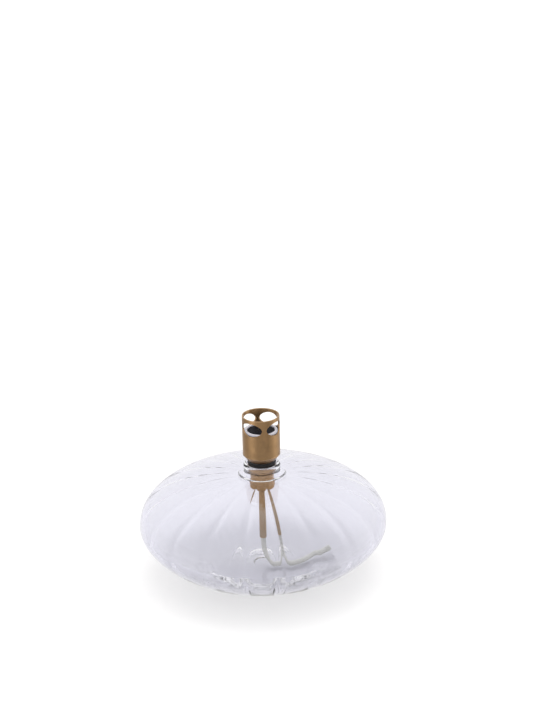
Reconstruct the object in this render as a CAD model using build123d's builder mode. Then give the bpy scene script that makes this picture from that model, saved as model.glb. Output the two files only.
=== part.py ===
from build123d import *
import os
from math import cos, hypot, pi, radians, sin, tan

# An oil lamp: a flattened, blown-glass reservoir and a brass burner that drops into its neck.
# Millimetres. +Z is up the lamp's axis, and the origin is the middle of the foot that it stands on.

# --- Driving dimensions ---------------------------------------------------------------------

# Reservoir, outside
GIRTH_R = 100.0  # widest radius
GIRTH_Z = 42.5  # height of the widest ring above the foot
SHOULDER_RISE = 43.0  # how far the upper half would rise above the widest ring, at the axis
SHOULDER_FULLNESS = 2.21  # exponent of the upper half; 2 is an ellipse, more is fuller
BELLY_DROP = 49.4  # how far the lower half would drop below the widest ring, at the axis
BELLY_FULLNESS = 1.7  # exponent of the lower half, which tapers towards the foot
FOOT_R = 38.0  # outer edge of the flat ring that it stands on
PUNT_R = 28.0  # inner edge of that ring
PUNT_RISE = 2.0  # hollow under the foot, at the axis

# Reservoir, inside
WALL = 3.2
FLOOR_Z = 5.0  # top of the glass floor
FLOOR_R = 34.0  # where the flat floor starts to curve up

# Neck
FLARE_R = 20.4  # where the shoulder starts to turn up into the neck
BEAD_R = 18.8  # rounded crease at the root of the neck
BEAD_Z = 85.7
BEAD_ROUND = 0.6
WAIST_R = 13.7
WAIST_Z = 88.1
RIM_R = 14.8
RIM_LOW_Z = 90.2
RIM_TOP_Z = 93.5
RIM_ROUND = 1.6
MOUTH_ROUND = 1.2
BORE_R = 11.5
SEAT_TOP_Z = 88.9  # the bore narrows below this, and the burner's stem sits there
SEAT_LOW_Z = 87.7
THROAT_R = 10.4
THROAT_LOW_Z = 86.4

# Burner crown: a brass cup with four oval air windows
CROWN_R = 15.0
CROWN_WALL = 1.0
CROWN_TOP_Z = 134.6
CROWN_EDGE_Z = 101.6  # where the side turns in to the foot of the cup
CROWN_FOOT_R = 10.9
CROWN_FOOT_Z = 96.7
CROWN_FLOOR = 2.0
WINDOW_WIDTH = 18.4
WINDOW_HEIGHT = 11.0
WINDOW_Z = 126.4
WINDOW_COUNT = 4
POST_TURN = 10.0  # the posts stand this many degrees round from the X and Y axes

# Burner stem, its lock ring and the seal round it
STEM_R = 10.05
STEM_WALL = 1.2
STEM_LOW_Z = 71.0
STEM_FLOOR = 2.0
STEM_CHAMFER = 1.0
PLUG_R = 11.2  # the stem's thick part, which stands over the seat in the bore
PLUG_CONE_Z = 87.8  # its cone starts here and runs beside the seat, 0.3 mm above it
PLUG_LOW_Z = 89.05
PLUG_TOP_Z = 92.6
STEM_NECK_R = 9.3  # the part that the seal ring goes round
SPIGOT_R = 7.9  # the stem's threaded top, which passes through the cup's floor
SPIGOT_TOP_Z = 102.0
LOCK_RING_R = 10.6
LOCK_RING_HEIGHT = 3.0
LOCK_NOTCH = 2.0
SEAL_R = 11.1  # in the neck's mouth
SEAL_STEP_Z = 94.2
SEAL_UPPER_R = 10.6  # between the mouth and the crown
SEAL_ROUND = 0.4

# Glass collar and wick plate inside the crown
COLLAR_R = 13.7
COLLAR_BORE_R = 9.5
COLLAR_STEP_R = 11.1
COLLAR_STEP = 1.9
COLLAR_TOP_Z = 122.3
COLLAR_ROUND = 0.9
PLATE_R = 10.8
PLATE_HEIGHT = 1.6
PLATE_DISH = 0.5  # how far its edge lies below its middle
PLATE_FLAT_R = 5.2

# Wick tube and wick
TUBE_R = 3.25
TUBE_BORE_R = 2.7
TUBE_TOP_Z = 122.3
TUBE_LOW_Z = 28.0
TUBE_CHAMFER = 0.2
FERRULE_R = 4.6  # across the corners of the nut that clamps the tube under the plate
FERRULE_HEIGHT = 2.4
FERRULE_SIDES = 6
WICK_R = 2.4
WICK_TOP_Z = 125.6
WICK_ROUND = 0.6
SLIDING_GAP = 0.05  # between turned pieces that slip into each other
CLEARANCE = 0.15  # between a piece and the glass that it sits in

# Route of the wick's free tail, from the tube's end down to the floor and along it.
# It comes a little to the front first, then swings right and back.
TAIL_ROUTE = [
    (0.0, 0.0, TUBE_LOW_Z),
    (0.0, 0.0, 21.8),
    (1.0, -2.7, 16.2),
    (4.6, -7.3, 10.7),
    (11.1, -11.1, 7.9),
    (19.4, -12.6, 7.9),
    (28.2, -9.6, 8.0),
    (36.0, -3.2, 8.5),
    (44.6, 3.5, 9.4),
    (54.4, 7.8, 11.6),
]


# --- Shared curves --------------------------------------------------------------------------


def bulge(radius, reach, rise, fullness):
    """Height of a superellipse of that reach and rise, at that radius."""
    return rise * (1 - (radius / reach) ** fullness) ** (1 / fullness)


def shoulder_point(radius, inset=0.0):
    """A point of the upper half, moved in by inset."""
    height = bulge(radius, GIRTH_R - inset, SHOULDER_RISE - inset, SHOULDER_FULLNESS)
    return radius, GIRTH_Z + height


def belly_point(radius, inset=0.0):
    """A point of the lower half, moved in by inset."""
    depth = bulge(radius, GIRTH_R - inset, BELLY_DROP - inset, BELLY_FULLNESS)
    return radius, GIRTH_Z - depth


def save(part, label):
    """Labels a finished piece and writes it."""
    part.label = label
    export_step(part, f"parts/{label}.step")


os.makedirs("parts", exist_ok=True)

# --- Glass reservoir ------------------------------------------------------------------------

outer_girth = (GIRTH_R, GIRTH_Z)
inner_girth = (GIRTH_R - WALL, GIRTH_Z)
flare_start = shoulder_point(FLARE_R)
inner_flare_start = shoulder_point(FLARE_R - WALL, WALL)
bead_edge = (BEAD_R, BEAD_Z)
bead_top = (BEAD_R - BEAD_ROUND, BEAD_Z + BEAD_ROUND)

with BuildPart() as glass_vessel:
    with BuildSketch(Plane.XZ):
        with BuildLine():
            # Foot, with its shallow hollow
            ThreePointArc((0, PUNT_RISE), (PUNT_R / 2, 0.75 * PUNT_RISE), (PUNT_R, 0))
            Line((PUNT_R, 0), (FOOT_R, 0))
            # Belly, up to the girth
            Spline(
                (FOOT_R, 0),
                belly_point(52),
                belly_point(68),
                belly_point(83),
                belly_point(95),
                outer_girth,
                tangents=((1, 0), (0, 1)),
            )
            # Shoulder, in to the neck
            Spline(
                outer_girth,
                shoulder_point(92),
                shoulder_point(78),
                shoulder_point(60),
                shoulder_point(40),
                flare_start,
                tangents=((0, 1), (-1, 0.06)),
            )
            Spline(flare_start, bead_edge, tangents=((-1, 0.06), (-0.3, 1)))
            Spline(bead_edge, bead_top, tangents=((-0.3, 1), (-1, 0.15)))
            Spline(bead_top, (WAIST_R, WAIST_Z), tangents=((-1, 0.15), (0, 1)))
            # Rolled rim
            Spline((WAIST_R, WAIST_Z), (RIM_R, RIM_LOW_Z), tangents=((0, 1), (0, 1)))
            Line((RIM_R, RIM_LOW_Z), (RIM_R, RIM_TOP_Z - RIM_ROUND))
            TangentArc(
                (RIM_R, RIM_TOP_Z - RIM_ROUND),
                (RIM_R - RIM_ROUND, RIM_TOP_Z),
                tangent=(0, 1),
            )
            Line((RIM_R - RIM_ROUND, RIM_TOP_Z), (BORE_R + MOUTH_ROUND, RIM_TOP_Z))
            TangentArc(
                (BORE_R + MOUTH_ROUND, RIM_TOP_Z),
                (BORE_R, RIM_TOP_Z - MOUTH_ROUND),
                tangent=(-1, 0),
            )
            # Bore, seat and throat
            Polyline(
                (BORE_R, RIM_TOP_Z - MOUTH_ROUND),
                (BORE_R, SEAT_TOP_Z),
                (THROAT_R, SEAT_LOW_Z),
                (THROAT_R, THROAT_LOW_Z),
            )
            Spline(
                (THROAT_R, THROAT_LOW_Z),
                inner_flare_start,
                tangents=((0, -1), (1, -0.06)),
            )
            # Inside of the shoulder, out to the girth
            Spline(
                inner_flare_start,
                shoulder_point(38, WALL),
                shoulder_point(58, WALL),
                shoulder_point(76, WALL),
                shoulder_point(89, WALL),
                inner_girth,
                tangents=((1, -0.06), (0, -1)),
            )
            # Inside of the belly, down to the floor
            Spline(
                inner_girth,
                belly_point(92, WALL),
                belly_point(80, WALL),
                belly_point(65, WALL),
                (FLOOR_R, FLOOR_Z),
                tangents=((0, -1), (-1, 0)),
            )
            Line((FLOOR_R, FLOOR_Z), (0, FLOOR_Z))
            Line((0, FLOOR_Z), (0, PUNT_RISE))
        make_face()
    revolve(axis=Axis.Z)

save(glass_vessel.part, "glass_vessel")

# --- Burner crown ---------------------------------------------------------------------------

crown_floor_z = CROWN_FOOT_Z + CROWN_FLOOR
crown_inner_r = CROWN_R - CROWN_WALL
# The inside of the sloping part runs beside its outside, so the wall keeps its thickness there.
crown_slope = (CROWN_R - CROWN_FOOT_R) / (CROWN_EDGE_Z - CROWN_FOOT_Z)
level_wall = CROWN_WALL * hypot(1, crown_slope)
crown_inner_edge_z = CROWN_EDGE_Z + (level_wall - CROWN_WALL) / crown_slope
crown_floor_r = CROWN_FOOT_R + CROWN_FLOOR * crown_slope - level_wall

with BuildPart() as burner_crown:
    with BuildSketch(Plane.XZ):
        with BuildLine():
            Polyline(
                (SPIGOT_R + SLIDING_GAP, CROWN_FOOT_Z),
                (CROWN_FOOT_R, CROWN_FOOT_Z),
                (CROWN_R, CROWN_EDGE_Z),
                (CROWN_R, CROWN_TOP_Z),
                (crown_inner_r, CROWN_TOP_Z),
                (crown_inner_r, crown_inner_edge_z),
                (crown_floor_r, crown_floor_z),
                (SPIGOT_R + SLIDING_GAP, crown_floor_z),
                close=True,
            )
        make_face()
    revolve(axis=Axis.Z)
    # Air windows: each oval mill pass goes straight through two opposite sides, so two passes
    # leave four windows with a narrow post between each two.
    for pass_number in range(WINDOW_COUNT // 2):
        turn = POST_TURN + (pass_number + 0.5) * 360 / WINDOW_COUNT
        side = Plane(
            origin=(0, 0, WINDOW_Z),
            x_dir=(-sin(radians(turn)), cos(radians(turn)), 0),
            z_dir=(cos(radians(turn)), sin(radians(turn)), 0),
        )
        with BuildSketch(side):
            Ellipse(WINDOW_WIDTH / 2, WINDOW_HEIGHT / 2)
        extrude(amount=CROWN_R + 1, both=True, mode=Mode.SUBTRACT)
    top_edges = burner_crown.edges().filter_by(GeomType.CIRCLE).group_by(Axis.Z)[-1]
    fillet(top_edges, CROWN_WALL * 0.3)

save(burner_crown.part, "burner_crown")

# --- Burner stem and lock ring --------------------------------------------------------------

with BuildPart() as burner_stem:
    with BuildSketch(Plane.XZ):
        with BuildLine():
            Polyline(
                (TUBE_R + SLIDING_GAP, STEM_LOW_Z),
                (STEM_R - STEM_CHAMFER, STEM_LOW_Z),
                (STEM_R, STEM_LOW_Z + STEM_CHAMFER),
                (STEM_R, PLUG_CONE_Z),
                (PLUG_R, PLUG_LOW_Z),
                (PLUG_R, PLUG_TOP_Z),
                (STEM_NECK_R, PLUG_TOP_Z),
                (STEM_NECK_R, CROWN_FOOT_Z),
                (SPIGOT_R, CROWN_FOOT_Z),
                (SPIGOT_R, SPIGOT_TOP_Z),
                (SPIGOT_R - STEM_WALL, SPIGOT_TOP_Z),
                (SPIGOT_R - STEM_WALL, STEM_LOW_Z + STEM_FLOOR),
                (TUBE_R + SLIDING_GAP, STEM_LOW_Z + STEM_FLOOR),
                close=True,
            )
        make_face()
    revolve(axis=Axis.Z)

save(burner_stem.part, "burner_stem")

with BuildPart() as lock_ring:
    with BuildSketch(Plane.XY.offset(crown_floor_z)):
        Circle(LOCK_RING_R)
        Circle(SPIGOT_R + SLIDING_GAP, mode=Mode.SUBTRACT)
        with PolarLocations(LOCK_RING_R, 4):
            Rectangle(LOCK_NOTCH, LOCK_NOTCH, mode=Mode.SUBTRACT)
    extrude(amount=LOCK_RING_HEIGHT)

save(lock_ring.part, "lock_ring")

# --- Seal ring ------------------------------------------------------------------------------

seal_low_z = PLUG_TOP_Z + SLIDING_GAP
seal_top_z = CROWN_FOOT_Z - SLIDING_GAP

with BuildPart() as seal_ring:
    with BuildSketch(Plane.XZ) as seal_section:
        with BuildLine():
            Polyline(
                (STEM_NECK_R + SLIDING_GAP, seal_low_z),
                (SEAL_R, seal_low_z),
                (SEAL_R, SEAL_STEP_Z),
                (SEAL_UPPER_R, SEAL_STEP_Z),
                (SEAL_UPPER_R, seal_top_z),
                (STEM_NECK_R + SLIDING_GAP, seal_top_z),
                close=True,
            )
        make_face()
        lip_corners = seal_section.vertices().group_by(Axis.X)[-1]
        fillet(lip_corners, SEAL_ROUND)
    revolve(axis=Axis.Z)

save(seal_ring.part, "seal_ring")

# --- Glass collar ---------------------------------------------------------------------------

collar_low_z = crown_floor_z + LOCK_RING_HEIGHT + CLEARANCE

with BuildPart() as glass_collar:
    with BuildSketch(Plane.XZ) as collar_section:
        with BuildLine():
            Polyline(
                (COLLAR_BORE_R, collar_low_z),
                (COLLAR_R, collar_low_z),
                (COLLAR_R, COLLAR_TOP_Z),
                (COLLAR_STEP_R, COLLAR_TOP_Z),
                (COLLAR_STEP_R, COLLAR_TOP_Z - COLLAR_STEP),
                (COLLAR_BORE_R, COLLAR_TOP_Z - COLLAR_STEP),
                close=True,
            )
        make_face()
        outer_corners = collar_section.vertices().group_by(Axis.X)[-1]
        fillet(outer_corners, COLLAR_ROUND)
    revolve(axis=Axis.Z)

save(glass_collar.part, "glass_collar")

# --- Wick plate, tube and ferrule -----------------------------------------------------------

plate_low_z = COLLAR_TOP_Z - COLLAR_STEP + SLIDING_GAP
plate_top_z = plate_low_z + PLATE_HEIGHT

with BuildPart() as wick_plate:
    with BuildSketch(Plane.XZ):
        with BuildLine():
            Polyline(
                (TUBE_R + SLIDING_GAP, plate_top_z),
                (TUBE_R + SLIDING_GAP, plate_low_z),
                (PLATE_R, plate_low_z),
                (PLATE_R, plate_top_z - PLATE_DISH),
            )
            ThreePointArc(
                (PLATE_R, plate_top_z - PLATE_DISH),
                (PLATE_R * 0.8, plate_top_z - PLATE_DISH * 0.35),
                (PLATE_FLAT_R, plate_top_z),
            )
            Line((PLATE_FLAT_R, plate_top_z), (TUBE_R + SLIDING_GAP, plate_top_z))
        make_face()
    revolve(axis=Axis.Z)

save(wick_plate.part, "wick_plate")

with BuildPart() as wick_tube:
    with BuildSketch(Plane.XY.offset(TUBE_LOW_Z)):
        Circle(TUBE_R)
        Circle(TUBE_BORE_R, mode=Mode.SUBTRACT)
    extrude(amount=TUBE_TOP_Z - TUBE_LOW_Z)
    tube_ends = wick_tube.edges().filter_by(GeomType.CIRCLE).sort_by(SortBy.RADIUS)[-2:]
    chamfer(tube_ends, TUBE_CHAMFER)

save(wick_tube.part, "wick_tube")

with BuildPart() as tube_ferrule:
    with BuildSketch(Plane.XY.offset(plate_low_z)):
        RegularPolygon(FERRULE_R, FERRULE_SIDES)
        Circle(TUBE_R + SLIDING_GAP / 2, mode=Mode.SUBTRACT)
    extrude(amount=-FERRULE_HEIGHT)

save(tube_ferrule.part, "tube_ferrule")

# --- Wick -----------------------------------------------------------------------------------

with BuildPart() as wick_core:
    with BuildSketch(Plane.XY.offset(TUBE_LOW_Z)):
        Circle(WICK_R)
    extrude(amount=WICK_TOP_Z - TUBE_LOW_Z)
    fillet(wick_core.edges().group_by(Axis.Z)[-1], WICK_ROUND)

save(wick_core.part, "wick_core")


def bend_radii(route):
    """The largest bend that each inner point's two runs allow, and the turns in degrees."""
    points = [Vector(*point) for point in route]
    radii, turns = [], []
    for before, here, after in zip(points, points[1:], points[2:]):
        run_in, run_out = here - before, after - here
        turn = run_in.get_angle(run_out)
        shorter = min(run_in.length, run_out.length)
        radii.append(0.45 * shorter / tan(radians(turn) / 2))
        turns.append(turn)
    return radii, turns


tail_radii, tail_turns = bend_radii(TAIL_ROUTE)

with BuildPart() as wick_tail:
    with BuildLine() as tail_path:
        FilletPolyline(*TAIL_ROUTE, radius=tail_radii)
    with BuildSketch(Plane.XY.offset(TUBE_LOW_Z)):
        Circle(WICK_R)
    sweep(path=tail_path.wires()[0])

save(wick_tail.part, "wick_tail")

tail_length = tail_path.wires()[0].length
section_area = pi * WICK_R**2
print("tail bends, mm:", [round(r, 1) for r in tail_radii])
print("tail turns, degrees:", [round(t, 1) for t in tail_turns])
print("tail length, mm:", round(tail_length, 2))
print("tail volume over section times length:", round(wick_tail.part.volume / (section_area * tail_length), 4))
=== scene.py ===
from math import acos, cos, pi, radians, sin

import bmesh
import bpy
from bpy.props import FloatProperty, FloatVectorProperty, IntProperty, PointerProperty
from bpy.types import Operator, Panel, PropertyGroup
from mathutils import Matrix, Vector


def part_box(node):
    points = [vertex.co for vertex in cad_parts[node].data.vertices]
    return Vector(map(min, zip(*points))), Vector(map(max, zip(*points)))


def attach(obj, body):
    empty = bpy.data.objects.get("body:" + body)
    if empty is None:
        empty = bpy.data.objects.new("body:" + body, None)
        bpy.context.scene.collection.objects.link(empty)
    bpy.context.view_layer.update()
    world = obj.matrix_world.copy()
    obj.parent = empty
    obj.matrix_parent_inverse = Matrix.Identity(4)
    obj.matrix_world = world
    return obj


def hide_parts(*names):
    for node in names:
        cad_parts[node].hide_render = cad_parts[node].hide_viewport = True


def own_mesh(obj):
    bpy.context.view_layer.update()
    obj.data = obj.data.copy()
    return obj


bl_info = {
    "name": "Ribbed Glass Oil Lamp",
    "version": (1, 0, 0),
    "blender": (4, 5, 0),
    "location": "3D View > Sidebar > Oil Lamp",
    "description": "Dresses the oil lamp's CAD frame in ribbed glass, satin brass and braided wick",
    "category": "Object",
}

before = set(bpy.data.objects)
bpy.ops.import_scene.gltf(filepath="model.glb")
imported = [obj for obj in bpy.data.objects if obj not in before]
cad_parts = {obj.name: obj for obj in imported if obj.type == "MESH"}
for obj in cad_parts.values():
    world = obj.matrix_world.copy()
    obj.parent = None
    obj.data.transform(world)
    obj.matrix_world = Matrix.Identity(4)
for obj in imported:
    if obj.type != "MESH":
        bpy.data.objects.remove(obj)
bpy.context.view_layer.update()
MM = 0.001

# Places that the frame gives
VESSEL_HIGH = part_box("glass_vessel")[1]
CROWN_TOP_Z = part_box("burner_crown")[1].z
COLLAR_LOW, COLLAR_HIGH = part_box("glass_collar")
PLATE_TOP_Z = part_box("wick_plate")[1].z
TUBE_LOW_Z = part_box("wick_tube")[0].z
WICK_LOW, WICK_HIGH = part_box("wick_core")
GIRTH_R = VESSEL_HIGH.x
RIM_TOP_Z = VESSEL_HIGH.z

# The vessel's half section, in metres
GIRTH_Z = 42.5 * MM
SHOULDER_RISE = 43.0 * MM
SHOULDER_FULLNESS = 2.21
BELLY_DROP = 49.4 * MM
BELLY_FULLNESS = 1.7
FOOT_R = 38.0 * MM
PUNT_R = 28.0 * MM
PUNT_RISE = 2.0 * MM
BELLY_START_R = 50.0 * MM  # outside of this the belly follows its curve, inside it flattens to the foot
FLOOR_Z = 5.0 * MM
FLOOR_R = 34.0 * MM
FLOOR_END_R = 60.0 * MM
FLARE_R = 20.4 * MM
BEAD_R = 18.8 * MM
BEAD_Z = 85.7 * MM
BEAD_ROUND = 0.6 * MM
WAIST_R = 13.7 * MM
WAIST_Z = 88.1 * MM
RIM_R = 14.8 * MM
RIM_LOW_Z = 90.2 * MM
RIM_ROUND = 1.6 * MM
MOUTH_ROUND = 1.2 * MM
BORE_R = 11.5 * MM
SEAT_TOP_Z = 88.9 * MM
SEAT_LOW_Z = 87.7 * MM
THROAT_R = 10.4 * MM
THROAT_LOW_Z = 86.4 * MM

# Optic ribs on the inner wall
SHOULDER_RIBS = (18 * MM, 34 * MM)  # above the girth they grow to full height between these radii
BELLY_RIBS = (34 * MM, 58 * MM)  # and below it between these
FRONT_SPREAD = radians(16.0)  # how far round from the front the strong ribs reach

# Burner cup and the collar inside it
CROWN_EDGE_Z = 101.6 * MM
COLLAR_BORE_R = 9.5 * MM
COLLAR_STEP_R = 11.1 * MM
COLLAR_STEP = 1.9 * MM
COLLAR_ROUND = 0.9 * MM
COLLAR_LIP_ROUND = 0.4 * MM
COLLAR_BEVEL = 0.3 * MM
COLLAR_TINT = (0.82, 0.79, 0.86)
PANE_TINT = (0.895, 0.895, 0.90)  # light that crosses the vessel's wall on its way to something else

# The wick's free tail: the route that the CAD tube follows, as the control points of one smooth curve
WICK_R = WICK_HIGH.x
STRAND_WEAVE = 0.1 * MM  # how far a strand rises and dips where it crosses another
STRAND_GAP = 0.7 * MM  # between the points along a strand
FRAY_LENGTH = 6 * MM
TIP_LENGTH = 12.0 * MM  # braided length at the top of the wick; the rest is hidden in the tube
TAIL_ROUTE = [
    (0.0, 0.0, 28.0),
    (0.0, 0.0, 21.8),
    (1.0, -2.7, 16.2),
    (4.6, -7.3, 10.7),
    (11.1, -11.1, 7.9),
    (19.4, -12.6, 7.9),
    (28.2, -9.6, 8.0),
    (36.0, -3.2, 8.5),
    (44.6, 3.5, 9.4),
    (54.4, 7.8, 11.6),
]

AIM_ABOVE = radians(6.42)  # the camera looks this far above the lamp's middle


# --- Node trees -----------------------------------------------------------------------------


class Wire:
    """An output socket that arithmetic can be done on; each operation adds a Math node."""

    def __init__(self, tree, socket):
        self.tree = tree
        self.socket = socket

    def maths(self, operation, *values, clamp=False):
        settings = {"operation": operation, "use_clamp": clamp}
        return self.tree.add("ShaderNodeMath", settings, dict(enumerate(values)))

    def out(self, name):
        """Another output of the same node."""
        return Wire(self.tree, self.socket.node.outputs[name])

    def __add__(self, other):
        return self.maths("ADD", self, other)

    def __sub__(self, other):
        return self.maths("SUBTRACT", self, other)

    def __rsub__(self, other):
        return self.maths("SUBTRACT", other, self)

    def __mul__(self, other):
        return self.maths("MULTIPLY", self, other)

    def __truediv__(self, other):
        return self.maths("DIVIDE", self, other)

    def __rtruediv__(self, other):
        return self.maths("DIVIDE", other, self)

    __radd__ = __add__
    __rmul__ = __mul__

    def clamped(self):
        """Held between 0 and 1."""
        return self.maths("ADD", self, 0.0, clamp=True)

    def rise(self, low, high):
        """A smooth step from 0 at low to 1 at high."""
        return self.tree.add(
            "ShaderNodeMapRange",
            {"interpolation_type": "SMOOTHSTEP"},
            {"Value": self, "From Min": low, "From Max": high},
        )

    def band(self, middle, width):
        """1 at middle, falling smoothly to 0 at width from it."""
        return 1 - self.maths("ABSOLUTE", self - middle).rise(0.0, width)


class Tree:
    """A shader or geometry node tree that is built by calls."""

    def __init__(self, node_tree):
        self.node_tree = node_tree

    def add(self, kind, settings=None, inputs=None, output=0):
        """Adds a node, sets it up, fills or links its inputs and gives one of its outputs."""
        node = self.node_tree.nodes.new(kind)
        for name, value in (settings or {}).items():
            if name == "stops":
                self._set_stops(node.color_ramp, value)
            else:
                setattr(node, name, value)
        for name, value in (inputs or {}).items():
            self.feed(node.inputs[name], value)
        return Wire(self, node.outputs[output]) if node.outputs else node

    def feed(self, socket, value):
        """Links a wire to a socket, or sets the socket to a plain value."""
        if isinstance(value, Wire):
            self.node_tree.links.new(value.socket, socket)
        elif hasattr(value, "__len__") and socket.type == "RGBA" and len(value) == 3:
            socket.default_value = (*value, 1.0)
        else:
            socket.default_value = value

    @staticmethod
    def _set_stops(ramp, stops):
        while len(ramp.elements) < len(stops):
            ramp.elements.new(0.5)
        for element, (position, colour) in zip(ramp.elements, stops):
            element.position = position
            element.color = (*colour, 1.0)


class Material(Tree):
    """A material whose patterns all start from the piece's own object coordinates."""

    def __init__(self, name):
        self.material = bpy.data.materials.new(name)
        self.material.use_nodes = True
        super().__init__(self.material.node_tree)
        self.node_tree.nodes.clear()
        self.place = self.add("ShaderNodeTexCoord").out("Object")
        self.x, self.y, self.z = (
            self.add("ShaderNodeSeparateXYZ", inputs={"Vector": self.place}).out(axis)
            for axis in "XYZ"
        )

    def stretched(self, scale, place=None):
        """The object coordinates with each axis scaled."""
        return self.add(
            "ShaderNodeVectorMath",
            {"operation": "MULTIPLY"},
            {0: place or self.place, 1: scale},
        )

    def reach(self):
        """The distance from the lamp's axis."""
        return self.add(
            "ShaderNodeVectorMath",
            {"operation": "LENGTH"},
            {0: self.stretched((1.0, 1.0, 0.0))},
            output="Value",
        )

    def noise(self, scale, detail=3.0, roughness=0.5, place=None, distortion=0.0):
        """Noise from 0 to 1; scale is in cells per metre."""
        return self.add(
            "ShaderNodeTexNoise",
            None,
            {
                "Vector": place or self.place,
                "Scale": scale,
                "Detail": detail,
                "Roughness": roughness,
                "Distortion": distortion,
            },
        )

    def mix(self, share, low, high):
        """A colour between two colours."""
        return self.add(
            "ShaderNodeMix",
            {"data_type": "RGBA"},
            {"Factor": share, 6: low, 7: high},
            output=2,
        )

    def bump(self, height, distance, strength=1.0, normal=None):
        """A normal from a height that is in units of distance, which is in metres."""
        inputs = {"Height": height, "Distance": distance, "Strength": strength}
        if normal is not None:
            inputs["Normal"] = normal
        return self.add("ShaderNodeBump", None, inputs)

    def surface(self, **inputs):
        """A Principled shader; underscores in the names stand for spaces."""
        names = {name.replace("_", " "): value for name, value in inputs.items()}
        return self.add("ShaderNodeBsdfPrincipled", None, names)

    def finish(self, shader):
        """Links the shader to the output and gives the material."""
        self.add("ShaderNodeOutputMaterial", None, {"Surface": shader})
        return self.material


class Geometry(Tree):
    """A geometry node tree with named inputs, which is run once on a piece."""

    def __init__(self, name, inputs):
        group = bpy.data.node_groups.new(name, "GeometryNodeTree")
        group.interface.new_socket("Geometry", in_out="INPUT", socket_type="NodeSocketGeometry")
        for label, kind in inputs.items():
            group.interface.new_socket(label, in_out="INPUT", socket_type="NodeSocket" + kind)
        group.interface.new_socket("Geometry", in_out="OUTPUT", socket_type="NodeSocketGeometry")
        super().__init__(group)
        self.start = group.nodes.new("NodeGroupInput")

    def input(self, name):
        return Wire(self, self.start.outputs[name])

    def attribute(self, name):
        """A named value that the mesh carries on its points."""
        return self.add("GeometryNodeInputNamedAttribute", {"data_type": "FLOAT"}, {"Name": name})

    def finish(self, geometry):
        """Makes instances real, sets the material from the input of that name and ends the tree."""
        real = self.add("GeometryNodeRealizeInstances", None, {"Geometry": geometry})
        painted = self.add(
            "GeometryNodeSetMaterial", None, {"Geometry": real, "Material": self.input("Material")}
        )
        self.add("NodeGroupOutput", None, {"Geometry": painted})

    def run(self, piece, **values):
        """Runs the tree on a piece and leaves the result as the piece's plain mesh."""
        modifier = piece.modifiers.new(self.node_tree.name, "NODES")
        modifier.node_group = self.node_tree
        names = {name.replace("_", " "): value for name, value in values.items()}
        for item in self.node_tree.interface.items_tree:
            if item.in_out == "INPUT" and item.name in names:
                modifier[item.identifier] = names[item.name]
        bpy.context.view_layer.update()
        seen = piece.evaluated_get(bpy.context.evaluated_depsgraph_get())
        mesh = bpy.data.meshes.new_from_object(seen)
        piece.modifiers.remove(modifier)
        piece.data = mesh
        return piece


# --- Mesh helpers ---------------------------------------------------------------------------


def new_piece(name, mesh):
    """A named object at the origin that holds the mesh."""
    piece = bpy.data.objects.new(name, mesh)
    bpy.context.scene.collection.objects.link(piece)
    return piece


def even(first, last, steps, skip_first=False):
    """Numbers from first to last in equal steps."""
    start = 1 if skip_first else 0
    return [first + (last - first) * n / steps for n in range(start, steps + 1)]


def bezier(a, b, c, d, steps):
    """Points of a cubic curve after its first, each (radius, height)."""
    points = []
    for t in even(0.0, 1.0, steps, skip_first=True):
        s = 1 - t
        weights = (s**3, 3 * s * s * t, 3 * s * t * t, t**3)
        points.append(tuple(sum(w * p[k] for w, p in zip(weights, (a, b, c, d))) for k in (0, 1)))
    return points


def arc(centre, radius, first, last, steps):
    """Points of an arc, with its angles in degrees from the outward direction."""
    return [
        (centre[0] + radius * cos(radians(t)), centre[1] + radius * sin(radians(t)))
        for t in even(first, last, steps)
    ]


def superellipse(reach, rise, fullness, from_r, to_r, steps):
    """Points of a quarter superellipse about the girth, between two radii."""
    first, last = (acos(min(1.0, (r / reach) ** (fullness / 2))) for r in (from_r, to_r))
    return [
        (reach * cos(t) ** (2 / fullness), GIRTH_Z + rise * sin(t) ** (2 / fullness))
        for t in even(first, last, steps)
    ]


def lathe(name, section, angles, closed=False):
    """Turns a half section about the Z axis. Each point is (radius, height) or (radius, height, rib).
    An open section starts and ends on the axis; a closed one is a ring."""
    mesh = bmesh.new()
    rib = mesh.verts.layers.float.new("rib")
    rows = []
    for radius, height, *share in section:
        on_axis = radius < 1e-7
        row = []
        for angle in angles[:1] if on_axis else angles:
            vertex = mesh.verts.new((radius * cos(angle), radius * sin(angle), height))
            vertex[rib] = share[0] if share else 0.0
            row.append(vertex)
        rows.append(row * len(angles) if on_axis else row)
    pairs = list(zip(rows, rows[1:]))
    if closed:
        pairs.append((rows[-1], rows[0]))
    for low, high in pairs:
        for k in range(len(angles)):
            after = (k + 1) % len(angles)
            corners = [low[k], low[after], high[after], high[k]]
            corners = [v for n, v in enumerate(corners) if v not in corners[:n]]
            if len(corners) > 2:
                mesh.faces.new(corners)
    bmesh.ops.recalc_face_normals(mesh, faces=mesh.faces)
    for face in mesh.faces:
        face.smooth = True
    data = bpy.data.meshes.new(name)
    mesh.to_mesh(data)
    mesh.free()
    return data


def smooth_share(value, low, high):
    """A smooth step from 0 at low to 1 at high."""
    t = min(1.0, max(0.0, (value - low) / (high - low)))
    return t * t * (3 - 2 * t)


def paint(piece, material):
    """Gives a piece one material all over."""
    piece.data.materials.clear()
    piece.data.materials.append(material)
    return piece


# --- Sizes and colours that a user would change ---------------------------------------------


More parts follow.
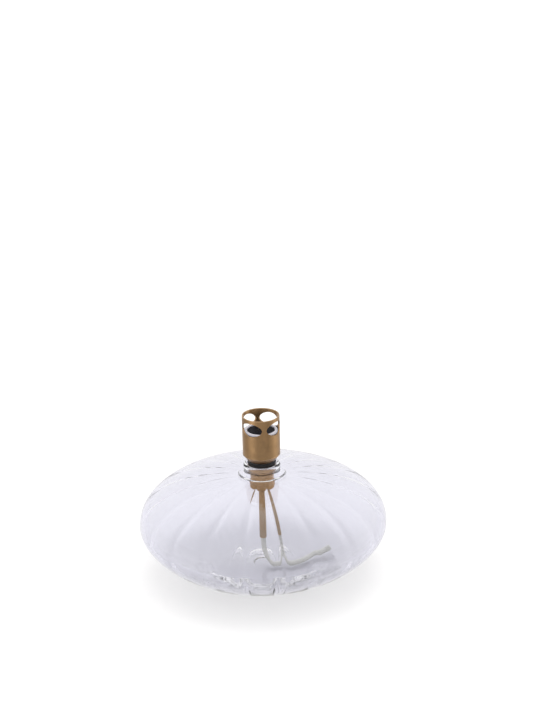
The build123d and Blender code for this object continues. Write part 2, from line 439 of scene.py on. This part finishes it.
class LampGlass(PropertyGroup):
    """The vessel and the collar inside the burner."""

    rib_count: IntProperty(name="Ribs", description="Optic ribs round the inside", default=20, min=0)
    rib_height: FloatProperty(
        name="Rib Height", description="Height of a front rib at the girth", default=1.7 * MM, unit="LENGTH"
    )
    rib_width: FloatProperty(
        name="Rib Width",
        description="How far round from a rib's crest its side is steepest",
        default=radians(1.7),
        subtype="ANGLE",
    )
    rib_evenness: FloatProperty(
        name="Rib Evenness",
        description="Height of the ribs away from the front, as a share of those at the front",
        default=0.2,
        min=0,
        max=1,
    )
    rib_turn: FloatProperty(
        name="Rib Turn",
        description="Angle of one crest from the X axis",
        default=radians(-90.0 + 7.5),
        subtype="ANGLE",
    )
    wall: FloatProperty(name="Wall", description="Thickness of the glass", default=3.2 * MM, unit="LENGTH")
    pontil_radius: FloatProperty(
        name="Pontil Radius", description="Ground spot under the foot", default=9.0 * MM, unit="LENGTH"
    )
    pontil_depth: FloatProperty(
        name="Pontil Depth", description="Depth of the ground spot", default=1.0 * MM, unit="LENGTH"
    )
    tint: FloatVectorProperty(
        name="Tint",
        description="Colour of the light that a wall lets through",
        default=(0.95, 0.95, 0.965),
        subtype="COLOR",
        min=0,
        max=1,
    )
    seed: IntProperty(name="Seed", description="Unevenness of the ribs", default=4)


class LampBrass(PropertyGroup):
    """The burner's metal."""

    body: FloatVectorProperty(
        name="Brass",
        description="Satin brass",
        default=(0.45, 0.275, 0.135),
        subtype="COLOR",
        min=0,
        max=1,
    )
    aged: FloatVectorProperty(
        name="Aged Brass",
        description="Browned brass",
        default=(0.37, 0.23, 0.115),
        subtype="COLOR",
        min=0,
        max=1,
    )
    bright: FloatVectorProperty(
        name="Worn Brass",
        description="Brass where hands rub it",
        default=(0.60, 0.42, 0.24),
        subtype="COLOR",
        min=0,
        max=1,
    )
    tube: FloatVectorProperty(
        name="Tube Brass",
        description="Drawn brass of the wick tube",
        default=(0.36, 0.26, 0.16),
        subtype="COLOR",
        min=0,
        max=1,
    )
    roughness: FloatProperty(name="Roughness", description="Of the satin finish", default=0.3, min=0, max=1)


class LampWick(PropertyGroup):
    """The braided wick."""

    strands: IntProperty(name="Strands", description="Strands each way round", default=8, min=3)
    strand_radius: FloatProperty(
        name="Strand Radius", description="Half a strand's width", default=0.42 * MM, unit="LENGTH"
    )
    lay_length: FloatProperty(
        name="Lay Length",
        description="Length of wick in one turn of a strand",
        default=15 * MM,
        unit="LENGTH",
    )
    fray: FloatProperty(
        name="Fray", description="How far the loose end opens", default=0.9 * MM, unit="LENGTH"
    )
    fibre: FloatVectorProperty(
        name="Fibre",
        description="Glass fibre",
        default=(0.74, 0.74, 0.735),
        subtype="COLOR",
        min=0,
        max=1,
    )


class LampStage(PropertyGroup):
    """Floor, light and camera."""

    floor: FloatVectorProperty(
        name="Floor", description="Pale floor", default=(0.84, 0.84, 0.84), subtype="COLOR", min=0, max=1
    )
    elevation: FloatProperty(
        name="Elevation",
        description="Camera's angle above the girth",
        default=radians(26.2),
        subtype="ANGLE",
    )
    distance: FloatProperty(
        name="Distance", description="Camera to the lamp's middle", default=1.2, unit="LENGTH"
    )
    lens: FloatProperty(name="Lens", description="Focal length in millimetres", default=74.64, min=10)
    roll: FloatProperty(name="Roll", description="Camera's roll", default=radians(1.35), subtype="ANGLE")
    yaw: FloatProperty(
        name="Yaw", description="Camera's turn away from the lamp", default=radians(-0.31), subtype="ANGLE"
    )


# --- Materials ------------------------------------------------------------------------------


def glass(name, tint, waviness, shadow):
    """Clear glass with faint waves and hand smudges. Light that falls on what is behind it comes straight
    through, as through a tinted pane."""
    m = Material(name)
    streaks = m.noise(1.0, 2.0, place=m.stretched((60.0, 60.0, 14.0)))
    swell = m.noise(22.0, 1.0)
    smudge = m.noise(38.0, 4.0, 0.65, distortion=0.6).rise(0.56, 0.8)
    deeper = tuple(c * 0.965 for c in tint)
    colour = m.mix(m.noise(9.0, 2.0).rise(0.3, 0.7), tint, deeper)
    bend = m.bump(swell + streaks * 0.35, waviness)
    clear = m.surface(
        Base_Color=colour,
        Roughness=smudge * 0.05,
        IOR=1.52,
        Transmission_Weight=1.0,
        Normal=bend,
    )
    pane = m.add("ShaderNodeBsdfTransparent", None, {"Color": shadow})
    shader = clear
    for ray in ("Is Shadow Ray", "Is Diffuse Ray"):
        shader = m.add(
            "ShaderNodeMixShader", None, {0: m.add("ShaderNodeLightPath").out(ray), 1: shader, 2: pane}
        )
    return m.finish(shader)


def frosted(name, colour):
    """Pressed glass with a fine frost, which lets some light through and scatters the rest."""
    m = Material(name)
    frost = m.noise(320.0, 4.0, 0.6)
    shade = m.mix(frost.rise(0.35, 0.7), colour, tuple(c * 0.94 for c in colour))
    return m.finish(
        m.surface(
            Base_Color=shade,
            Roughness=frost * 0.15 + 0.18,
            IOR=1.52,
            Transmission_Weight=0.35,
            Normal=m.bump(m.noise(900.0, 2.0), 0.01 * MM),
        )
    )


def brass(name, colours, body, worn_heights, grain=(1.0, 1.0, 40.0), sooty_above=1.0):
    """Turned, satin-finished brass: fine lathe lines, brown patches and rubbed edges at some heights, and
    soot above one height."""
    m = Material(name)
    patches = m.noise(90.0, 5.0, 0.6).rise(0.38, 0.7)
    colour = m.mix(patches, body, colours.aged)
    lines = m.noise(260.0, 2.0, 0.6, place=m.stretched(grain))
    specks = m.noise(1400.0, 2.0, 0.5).rise(0.68, 0.78)
    colour = m.mix(specks * 0.2, colour, tuple(c * 0.5 for c in colours.aged))
    worn = 0.0
    for height, width in worn_heights:
        worn = m.z.band(height, width) + worn
    worn = (worn * m.noise(240.0, 3.0).rise(0.2, 0.75)).clamped()
    colour = m.mix(worn * 0.6, colour, colours.bright)
    sooty = m.z.rise(sooty_above - 1.0 * MM, sooty_above)
    colour = m.mix(sooty * 0.95, colour, (0.008, 0.008, 0.009))
    fingers = m.noise(150.0, 3.0, 0.55, distortion=0.8)
    return m.finish(
        m.surface(
            Base_Color=colour,
            Metallic=1.0,
            Roughness=(fingers * 0.16 + patches * 0.08 - worn * 0.1 + (colours.roughness - 0.08)).clamped(),
            Normal=m.bump(lines + m.noise(900.0, 2.0) * 0.5, 0.012 * MM),
        )
    )


def blackened(name):
    """Black oxide on a turned plate, rubbed in rings and dusted with pale specks."""
    m = Material(name)
    rings = m.add(
        "ShaderNodeTexNoise", {"noise_dimensions": "1D"}, {"W": m.reach(), "Scale": 2400.0, "Detail": 3.0}
    )
    cloud = m.noise(170.0, 4.0, 0.6)
    dust = m.noise(2100.0, 1.0).rise(0.68, 0.74)
    colour = m.mix(cloud.rise(0.35, 0.75), (0.007, 0.007, 0.009), (0.02, 0.019, 0.023))
    colour = m.mix(dust * 0.12, colour, (0.25, 0.24, 0.24))
    return m.finish(
        m.surface(
            Base_Color=colour,
            Roughness=rings * 0.2 + cloud * 0.16 + 0.28,
            Specular_IOR_Level=0.02,
            Normal=m.bump(rings, 0.02 * MM),
        )
    )


def rubber(name):
    """Matte black moulded rubber with a faint bloom."""
    m = Material(name)
    bloom = m.noise(240.0, 4.0, 0.6).rise(0.45, 0.8)
    colour = m.mix(bloom, (0.008, 0.008, 0.009), (0.028, 0.027, 0.028))
    return m.finish(
        m.surface(
            Base_Color=colour,
            Roughness=bloom * 0.2 + 0.55,
            Normal=m.bump(m.noise(2600.0, 2.0), 0.03 * MM),
        )
    )


def fibre(name, colour):
    """White glass-fibre yarn: fine bright filaments over a greyer core, a little oiled in places. What
    stands above the plate is charred."""
    m = Material(name)
    filaments = m.noise(1800.0, 2.0, 0.7, distortion=0.4)
    soaked = m.noise(120.0, 3.0).rise(0.4, 0.75)
    grey = tuple(c * 0.72 for c in colour)
    shade = m.mix(filaments.rise(0.3, 0.7), grey, colour)
    shade = m.mix(soaked * 0.35, shade, tuple(c * f for c, f in zip(colour, (0.66, 0.65, 0.6))))
    charred = m.z.rise(PLATE_TOP_Z - 2.0 * MM, PLATE_TOP_Z + 0.5 * MM)
    shade = m.mix(charred * 0.96, shade, (0.012, 0.011, 0.012))
    return m.finish(
        m.surface(
            Base_Color=shade,
            Roughness=soaked * -0.2 + 0.72,
            Sheen_Weight=0.15,
            Sheen_Roughness=0.4,
            Normal=m.bump(filaments, 0.06 * MM),
        )
    )


def plain_floor(name, colour):
    """Seamless paper with the faintest mottle, a little dimmer and bluer when it is seen through glass."""
    m = Material(name)
    shade = m.mix(m.noise(3.0, 3.0), colour, tuple(c * 0.985 for c in colour))
    # Painted shade: the floor is darker and bluer only to rays that reach it through glass, which gives the
    # clear vessel its grey-lavender body
    behind_glass = m.add("ShaderNodeLightPath").out("Is Transmission Ray")
    shade = m.mix(behind_glass, shade, tuple(c * f for c, f in zip(colour, (0.78, 0.78, 0.86))))
    return m.finish(m.surface(Base_Color=shade, Roughness=m.noise(60.0) * 0.1 + 0.8))


# --- Vessel ---------------------------------------------------------------------------------


def outer_section(glass_settings):
    """The outside, from the middle of the foot to the top of the rim."""
    spot, depth = glass_settings.pontil_radius, glass_settings.pontil_depth

    def foot_height(radius):
        hollow = PUNT_RISE * (1 - (radius / PUNT_R) ** 2)
        return hollow + depth * (1 - smooth_share(radius, 0.86 * spot, 1.06 * spot))

    inner_foot = [r * spot for r in (0, 0.2, 0.4, 0.6, 0.75, 0.84, 0.9, 0.96, 1.02, 1.1)]
    inner_foot += even(1.4 * spot, PUNT_R, 8)
    points = [(r, foot_height(r)) for r in inner_foot]
    points += [(r, 0.0) for r in even(PUNT_R, FOOT_R, 4, skip_first=True)]
    belly = superellipse(GIRTH_R, -BELLY_DROP, BELLY_FULLNESS, BELLY_START_R, GIRTH_R, 34)
    (r0, z0), (r1, z1) = belly[0], belly[1]
    slope = (z1 - z0) / (r1 - r0)
    lead = 5.0 * MM
    points += bezier((FOOT_R, 0.0), (FOOT_R + lead, 0.0), (r0 - lead, z0 - lead * slope), (r0, z0), 8)
    points += belly[1:]
    shoulder = superellipse(GIRTH_R, SHOULDER_RISE, SHOULDER_FULLNESS, GIRTH_R, FLARE_R, 34)
    points += shoulder[1:]
    flare_z = shoulder[-1][1]
    bead_top_r, bead_top_z = BEAD_R - BEAD_ROUND, BEAD_Z + BEAD_ROUND
    points += bezier(
        (FLARE_R, flare_z), (FLARE_R - 1.2 * MM, flare_z + 0.07 * MM), (BEAD_R + 0.2 * MM, BEAD_Z - 0.6 * MM),
        (BEAD_R, BEAD_Z), 6,
    )
    points += bezier(
        (BEAD_R, BEAD_Z), (BEAD_R - 0.1 * MM, BEAD_Z + 0.34 * MM),
        (bead_top_r + 0.3 * MM, bead_top_z - 0.05 * MM), (bead_top_r, bead_top_z), 6,
    )
    points += bezier(
        (bead_top_r, bead_top_z), (bead_top_r - 1.8 * MM, bead_top_z + 0.27 * MM),
        (WAIST_R, WAIST_Z - 1.2 * MM), (WAIST_R, WAIST_Z), 10,
    )
    middle_z = (WAIST_Z + RIM_LOW_Z) / 2
    points += bezier((WAIST_R, WAIST_Z), (WAIST_R, middle_z), (RIM_R, middle_z), (RIM_R, RIM_LOW_Z), 8)
    points += [(RIM_R, z) for z in even(RIM_LOW_Z, RIM_TOP_Z - RIM_ROUND, 4, skip_first=True)]
    points += arc((RIM_R - RIM_ROUND, RIM_TOP_Z - RIM_ROUND), RIM_ROUND, 0, 90, 8)[1:]
    return points


def inner_section(wall):
    """The inside, from the mouth down to the middle of the floor, with each point's share of a rib."""
    points = arc((BORE_R + MOUTH_ROUND, RIM_TOP_Z - MOUTH_ROUND), MOUTH_ROUND, 90, 180, 6)
    points += [(BORE_R, z) for z in even(RIM_TOP_Z - MOUTH_ROUND, SEAT_TOP_Z, 4, skip_first=True)]
    points += [(THROAT_R, SEAT_LOW_Z), (THROAT_R, THROAT_LOW_Z)]
    reach = GIRTH_R - wall
    shoulder = superellipse(
        reach, SHOULDER_RISE - wall, SHOULDER_FULLNESS, FLARE_R - wall, reach, 44
    )
    start_r, start_z = shoulder[0]
    points += bezier(
        (THROAT_R, THROAT_LOW_Z), (THROAT_R, THROAT_LOW_Z - 3.0 * MM),
        (start_r - 3.0 * MM, start_z + 0.2 * MM), (start_r, start_z), 8,
    )
    points += shoulder[1:]
    belly = superellipse(reach, wall - BELLY_DROP, BELLY_FULLNESS, reach, FLOOR_END_R, 44)
    points += belly[1:]
    (r1, z1), (r0, z0) = belly[-2], belly[-1]
    slope = (z1 - z0) / (r1 - r0)
    lead = 9.0 * MM
    points += bezier(
        (r0, z0), (r0 - lead, z0 - lead * slope), (FLOOR_R + lead, FLOOR_Z), (FLOOR_R, FLOOR_Z), 10
    )
    points += [(r, FLOOR_Z) for r in even(FLOOR_R, 0.0, 8, skip_first=True)]
    ribbed = []
    for radius, height in points:
        growth = SHOULDER_RIBS if height > GIRTH_Z else BELLY_RIBS
        ribbed.append((radius, height, smooth_share(radius, *growth)))
    return ribbed


def rib_angles(count, turn, per_rib, gather):
    """Angles round the vessel that crowd together at the ribs' crests."""
    pitch = 2 * pi / count
    angles = []
    for k in range(count * per_rib):
        s = k / per_rib
        angles.append(turn + pitch * (s - gather * sin(2 * pi * s) / (2 * pi)))
    return angles


def rib_tree():
    """Raises ribs from the inner wall. They run down the vessel and stay as wide an angle all the way."""
    tree = Geometry(
        "Optic Ribs",
        {
            "Rib Count": "Int",
            "Rib Height": "Float",
            "Rib Width": "Float",
            "Rib Turn": "Float",
            "Rib Evenness": "Float",
            "Girth Radius": "Float",
            "Seed": "Int",
            "Material": "Material",
        },
    )
    position = tree.add("GeometryNodeInputPosition")
    x, y = (tree.add("ShaderNodeSeparateXYZ", None, {0: position}).out(axis) for axis in "XY")
    angle = x.maths("ARCTAN2", y, x) - tree.input("Rib Turn")
    reach = (x * x + y * y).maths("SQRT", x * x + y * y)
    pitch = 2 * pi / tree.input("Rib Count").maths("MAXIMUM", tree.input("Rib Count"), 1.0)
    turns = angle / pitch
    nearest = turns.maths("ROUND", turns)
    aside = (turns - nearest) * pitch
    steep = aside / tree.input("Rib Width")
    wave = aside.maths("EXPONENT", steep * steep * -0.5)
    index = nearest.maths("FLOORED_MODULO", nearest, tree.input("Rib Count"))
    uneven = tree.add(
        "FunctionNodeRandomValue",
        {"data_type": "FLOAT"},
        {"Min": 0.82, "Max": 1.12, "ID": index, "Seed": tree.input("Seed")},
        output=1,
    )
    height = tree.input("Rib Height") * uneven * wave * reach / tree.input("Girth Radius")
    height = height * tree.attribute("rib")
    from_front = x.maths("ARCTAN2", x, y * -1.0) / FRONT_SPREAD
    at_front = from_front.maths("EXPONENT", from_front * from_front * -1.0)
    evenness = tree.input("Rib Evenness")
    height = height * (evenness + (1 - evenness) * at_front)
    normal = tree.add("GeometryNodeInputNormal")
    lift = tree.add("ShaderNodeVectorMath", {"operation": "SCALE"}, {0: normal, "Scale": height})
    raised = tree.add(
        "GeometryNodeSetPosition", None, {"Geometry": tree.input("Geometry"), "Offset": lift}
    )
    tree.finish(raised)
    return tree


class LAMP_OT_vessel(Operator):
    """Blow the reservoir: a smooth outside and straight optic ribs inside"""

    bl_idname = "lamp.vessel"
    bl_label = "Vessel"

    def execute(self, context):
        settings = context.scene.lamp_glass
        angles = rib_angles(settings.rib_count, settings.rib_turn, 16, 0.6)
        section = outer_section(settings) + inner_section(settings.wall)
        piece = new_piece("ribbed_vessel", lathe("ribbed_vessel", section, angles))
        rib_tree().run(
            piece,
            Rib_Count=settings.rib_count,
            Rib_Height=settings.rib_height,
            Rib_Width=settings.rib_width,
            Rib_Turn=settings.rib_turn,
            Rib_Evenness=settings.rib_evenness,
            Girth_Radius=GIRTH_R,
            Seed=settings.seed,
            Material=glass("vessel_glass", tuple(settings.tint), 0.05 * MM, PANE_TINT),
        )
        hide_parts("glass_vessel")
        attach(piece, "vessel")
        return {"FINISHED"}


class LAMP_OT_collar(Operator):
    """Press the lightly frosted glass collar that carries the wick plate inside the burner"""

    bl_idname = "lamp.collar"
    bl_label = "Glass Collar"

    def execute(self, context):
        low, high = COLLAR_LOW.z, COLLAR_HIGH.z
        shelf = high - COLLAR_STEP
        edge_r = COLLAR_HIGH.x - COLLAR_ROUND
        lip = (COLLAR_STEP_R + COLLAR_LIP_ROUND, high - COLLAR_LIP_ROUND)
        bevel_r = COLLAR_BORE_R + COLLAR_BEVEL
        section = [(bevel_r, low), (edge_r, low)]
        section += arc((edge_r, low + COLLAR_ROUND), COLLAR_ROUND, -90, 0, 6)[1:]
        section += arc((edge_r, high - COLLAR_ROUND), COLLAR_ROUND, 0, 90, 6)
        section += arc(lip, COLLAR_LIP_ROUND, 90, 180, 4)
        section += [(COLLAR_STEP_R, shelf), (bevel_r, shelf)]
        for height in (shelf - COLLAR_BEVEL, (low + high) / 2, low + COLLAR_BEVEL):
            section.append((COLLAR_BORE_R, height))
        angles = even(0.0, 2 * pi, 128)[:-1]
        piece = new_piece("clear_collar", lathe("clear_collar", section, angles, closed=True))
        paint(piece, frosted("collar_glass", COLLAR_TINT))
        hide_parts("glass_collar")
        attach(piece, "collar")
        return {"FINISHED"}


class LAMP_OT_metalwork(Operator):
    """Finish the burner's brass, the black plate and the rubber seal"""

    bl_idname = "lamp.metalwork"
    bl_label = "Metalwork"

    def execute(self, context):
        colours = context.scene.lamp_brass
        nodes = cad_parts
        crown_wear = [(CROWN_TOP_Z, 1.2 * MM), (CROWN_EDGE_Z, 0.9 * MM)]
        cup = brass("satin_brass", colours, colours.body, crown_wear)
        tube_wear = [(TUBE_LOW_Z, 1.5 * MM)]
        drawn = brass("tube_brass", colours, colours.tube, tube_wear, (30.0, 30.0, 0.6), PLATE_TOP_Z)
        for name in ("burner_crown", "burner_stem", "lock_ring"):
            paint(nodes[name], cup)
        for name in ("wick_tube", "tube_ferrule"):
            paint(nodes[name], drawn)
        paint(nodes["wick_plate"], blackened("blackened_plate"))
        paint(nodes["seal_ring"], rubber("seal_rubber"))
        return {"FINISHED"}


# --- Wick -----------------------------------------------------------------------------------


def tail_line():
    """The points of the smooth curve that the route controls."""
    curve = bpy.data.curves.new("tail_route", "CURVE")
    curve.dimensions = "3D"
    curve.resolution_u = 14
    spline = curve.splines.new("NURBS")
    spline.points.add(len(TAIL_ROUTE) - 1)
    for point, place in zip(spline.points, TAIL_ROUTE):
        point.co = (*(c * MM for c in place), 1.0)
    spline.order_u = 3
    spline.use_endpoint_u = True
    carrier = bpy.data.objects.new("tail_route", curve)
    mesh = bpy.data.meshes.new_from_object(carrier)
    points = [v.co.copy() for v in mesh.vertices]
    bpy.data.objects.remove(carrier)
    bpy.data.curves.remove(curve)
    bpy.data.meshes.remove(mesh)
    return points


def respaced(points, gap):
    """The same line with its points an even distance apart."""
    spaced, travelled = [points[0]], 0.0
    for start, end in zip(points, points[1:]):
        length = (end - start).length
        while travelled + length >= gap:
            share = (gap - travelled) / length
            start = start.lerp(end, share)
            spaced.append(start)
            length = (end - start).length
            travelled = 0.0
        travelled += length
    if (points[-1] - spaced[-1]).length > 0.3 * gap:
        spaced.append(points[-1])
    return spaced


def frames_along(line):
    """Two directions across the line at each of its points, carried along without twist."""
    across = Vector((0.0, 1.0, 0.0))
    frames = []
    for n, point in enumerate(line):
        along = (line[min(n + 1, len(line) - 1)] - line[max(n - 1, 0)]).normalized()
        across = (across - along * across.dot(along)).normalized()
        frames.append((across, along.cross(across)))
    return frames


def braid_lines(line, settings, middle_radius, open_end):
    """The strands' middle lines. Those that turn one way pass over and under those that turn the other."""
    frames = frames_along(line)
    gap = (line[-1] - line[-2]).length
    fray_start = len(line) - int(FRAY_LENGTH / gap)
    strands = []
    for way in (1, -1):
        for k in range(settings.strands):
            start = 2 * pi * (k + 0.25 * (1 + way)) / settings.strands
            strand = []
            for n, (point, (side, up)) in enumerate(zip(line, frames)):
                turn = way * 2 * pi * n * gap / settings.lay_length
                weave = cos(settings.strands * turn + (pi if way > 0 else 0.0))
                out = middle_radius + STRAND_WEAVE * weave * way
                if open_end and n > fray_start:
                    out += settings.fray * ((n - fray_start) / (len(line) - fray_start)) ** 2 * (
                        0.4 + 0.6 * sin(5.1 * k + 2 * way) ** 2
                    )
                angle = start + turn
                strand.append(point + side * (out * cos(angle)) + up * (out * sin(angle)))
            cut = int(4 * (1 + sin(3.7 * k + way))) if open_end else 0
            strands.append(strand[: len(strand) - cut])
    return strands


def line_mesh(name, lines):
    """A mesh of bare lines; each is (points, radius), and each point carries its line's radius."""
    points, edges, radii = [], [], []
    for line, radius in lines:
        edges += [(len(points) + n, len(points) + n + 1) for n in range(len(line) - 1)]
        points += [tuple(p) for p in line]
        radii += [radius] * len(line)
    mesh = bpy.data.meshes.new(name)
    mesh.from_pydata(points, edges, [])
    thickness = mesh.attributes.new("thickness", "FLOAT", "POINT")
    thickness.data.foreach_set("value", radii)
    return mesh


def strand_tree():
    """Gives each bare line a round section of its own thickness."""
    tree = Geometry("Yarn Strands", {"Sides": "Int", "Material": "Material"})
    curves = tree.add("GeometryNodeMeshToCurve", None, {"Mesh": tree.input("Geometry")})
    ring = tree.add(
        "GeometryNodeCurvePrimitiveCircle", None, {"Resolution": tree.input("Sides"), "Radius": 1.0}
    )
    tubes = tree.add(
        "GeometryNodeCurveToMesh",
        None,
        {"Curve": curves, "Profile Curve": ring, "Scale": tree.attribute("thickness"), "Fill Caps": True},
    )
    tree.finish(tree.add("GeometryNodeSetShadeSmooth", None, {"Geometry": tubes}))
    return tree


class LAMP_OT_wick(Operator):
    """Braid the wick: its length in the tube with the tip above it, and its free tail on the floor"""

    bl_idname = "lamp.wick"
    bl_label = "Wick"

    def execute(self, context):
        settings = context.scene.lamp_wick
        material = fibre("glass_fibre", tuple(settings.fibre))
        tree = strand_tree()
        middle = WICK_R - settings.strand_radius - STRAND_WEAVE

        tail = respaced(tail_line(), STRAND_GAP)
        strands = braid_lines(tail, settings, middle, open_end=True)
        lines = [(tail, middle)] + [(strand, settings.strand_radius) for strand in strands]
        piece = new_piece("braided_tail", line_mesh("braided_tail", lines))
        tree.run(piece, Sides=8, Material=material)
        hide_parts("wick_tail")
        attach(piece, "wick")
        length = sum((b - a).length for a, b in zip(tail, tail[1:]))
        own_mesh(piece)

        top = WICK_HIGH.z - 0.3 * MM
        steps = int(TIP_LENGTH / STRAND_GAP)
        core = [Vector((0.0, 0.0, z)) for z in even(WICK_LOW.z, top, 40)]
        head = [Vector((0.0, 0.0, z)) for z in even(top - TIP_LENGTH, top, steps)]
        strands = braid_lines(head, settings, middle, open_end=False)
        lines = [(core, middle)] + [(strand, settings.strand_radius) for strand in strands]
        piece = new_piece("braided_core", line_mesh("braided_core", lines))
        tree.run(piece, Sides=8, Material=material)
        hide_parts("wick_core")
        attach(piece, "wick")
        return {"FINISHED"}


# --- Stage ----------------------------------------------------------------------------------


def studio_sky(world):
    """A soft white tent with a dimmer front and brighter sides. The camera sees plain white, straight or
    through glass."""
    world.use_nodes = True
    sky = Tree(world.node_tree)
    sky.node_tree.nodes.clear()
    way = sky.add("ShaderNodeTexCoord").out("Generated")
    x, y, z = (sky.add("ShaderNodeSeparateXYZ", None, {0: way}).out(axis) for axis in "XYZ")
    azimuth = x.maths("ARCTAN2", x, y * -1.0) * (180 / pi)
    left_box = azimuth.band(-58.0, 34.0)
    right_box = azimuth.band(98.0, 44.0)
    flag = azimuth.band(42.0, 22.0)
    back = azimuth.maths("ABSOLUTE", azimuth).rise(120.0, 165.0)
    level = 0.58 + left_box * 0.66 + right_box * 0.5 + back * 0.3 - flag * 0.12
    above = z.rise(0.15, 0.75)
    level = level * (1 - above) + above * 1.1
    studio = sky.add("ShaderNodeBackground", None, {"Color": (1.0, 0.99, 0.985), "Strength": level})
    plain = sky.add("ShaderNodeBackground", None, {"Color": (1.0, 1.0, 1.0), "Strength": 1.0})
    rays = sky.add("ShaderNodeLightPath")
    plainly = rays.maths("MAXIMUM", rays.out("Is Camera Ray"), rays.out("Is Transmission Ray"))
    shown = sky.add("ShaderNodeMixShader", None, {0: plainly, 1: studio, 2: plain})
    sky.add("ShaderNodeOutputWorld", None, {"Surface": shown})


def soft_sun(name, place, spread, strength):
    """A distant, broad light that shines from the place towards the origin and leaves no highlight."""
    light = bpy.data.lights.new(name, "SUN")
    light.angle = spread
    light.energy = strength
    lamp = bpy.data.objects.new(name, light)
    lamp.visible_glossy = False
    lamp.visible_transmission = False
    lamp.location = place
    lamp.rotation_euler = (-Vector(place)).to_track_quat("-Z", "Y").to_euler()
    bpy.context.scene.collection.objects.link(lamp)
    return lamp


class LAMP_OT_stage(Operator):
    """Lay the floor, hang the lights and set the camera"""

    bl_idname = "lamp.stage"
    bl_label = "Stage"

    def execute(self, context):
        scene = context.scene
        settings = scene.lamp_stage
        scene.view_settings.view_transform = "Standard"
        scene.cycles.caustics_refractive = False
        scene.cycles.caustics_reflective = False
        scene.cycles.max_bounces = 32
        scene.cycles.transmission_bounces = 32
        scene.cycles.glossy_bounces = 16
        scene.cycles.transparent_max_bounces = 32

        rings = [(0.0, 0.0)] + [(r, 0.0) for r in (0.2, 0.6, 2.0, 8.0)]
        floor = new_piece("floor", lathe("floor", rings, even(0.0, 2 * pi, 64)[:-1]))
        paint(floor, plain_floor("pale_floor", tuple(settings.floor)))
        floor.visible_glossy = False

        world = bpy.data.worlds.new("studio")
        scene.world = world
        studio_sky(world)
        soft_sun("overhead", (0.1, 0.35, 1.5), radians(50.0), 1.35)

        middle = Vector((0.0, 0.0, GIRTH_Z + 0.5 * MM))
        away = Vector((0.0, -cos(settings.elevation), sin(settings.elevation)))
        camera_data = bpy.data.cameras.new("camera")
        camera_data.lens = settings.lens
        camera_data.sensor_width = 36.0
        camera = bpy.data.objects.new("camera", camera_data)
        camera.location = middle + away * settings.distance
        look_down = settings.elevation - AIM_ABOVE
        turn = (
            Matrix.Rotation(settings.yaw, 4, "Z")
            @ Matrix.Rotation(pi / 2 - look_down, 4, "X")
            @ Matrix.Rotation(-settings.roll, 4, "Z")
        )
        camera.rotation_euler = turn.to_euler()
        scene.collection.objects.link(camera)
        scene.camera = camera
        return {"FINISHED"}


# --- Panel and registration -----------------------------------------------------------------


class LAMP_PT_sidebar(Panel):
    """The lamp's sizes and colours, and a button for each group of pieces"""

    bl_idname = "LAMP_PT_sidebar"
    bl_label = "Oil Lamp"
    bl_space_type = "VIEW_3D"
    bl_region_type = "UI"
    bl_category = "Oil Lamp"

    def draw(self, context):
        for group_name, settings in GROUPS.items():
            box = self.layout.box()
            box.label(text=settings.__doc__)
            group = getattr(context.scene, group_name)
            for name in settings.__annotations__:
                box.prop(group, name)
        for operator in OPERATORS:
            self.layout.operator(operator.bl_idname)


GROUPS = {
    "lamp_glass": LampGlass,
    "lamp_brass": LampBrass,
    "lamp_wick": LampWick,
    "lamp_stage": LampStage,
}
OPERATORS = (LAMP_OT_stage, LAMP_OT_wick, LAMP_OT_vessel, LAMP_OT_collar, LAMP_OT_metalwork)


def register():
    for item in (*GROUPS.values(), *OPERATORS, LAMP_PT_sidebar):
        bpy.utils.register_class(item)
    for name, settings in GROUPS.items():
        setattr(bpy.types.Scene, name, PointerProperty(type=settings))


def unregister():
    for name in GROUPS:
        delattr(bpy.types.Scene, name)
    for item in reversed((*GROUPS.values(), *OPERATORS, LAMP_PT_sidebar)):
        bpy.utils.unregister_class(item)


def main():
    """Registers the add-on and makes every piece in turn."""
    register()
    for operator in OPERATORS:
        step = operator.bl_idname.split(".")[1]
        getattr(bpy.ops.lamp, step)()


if __name__ == "__main__":
    main()
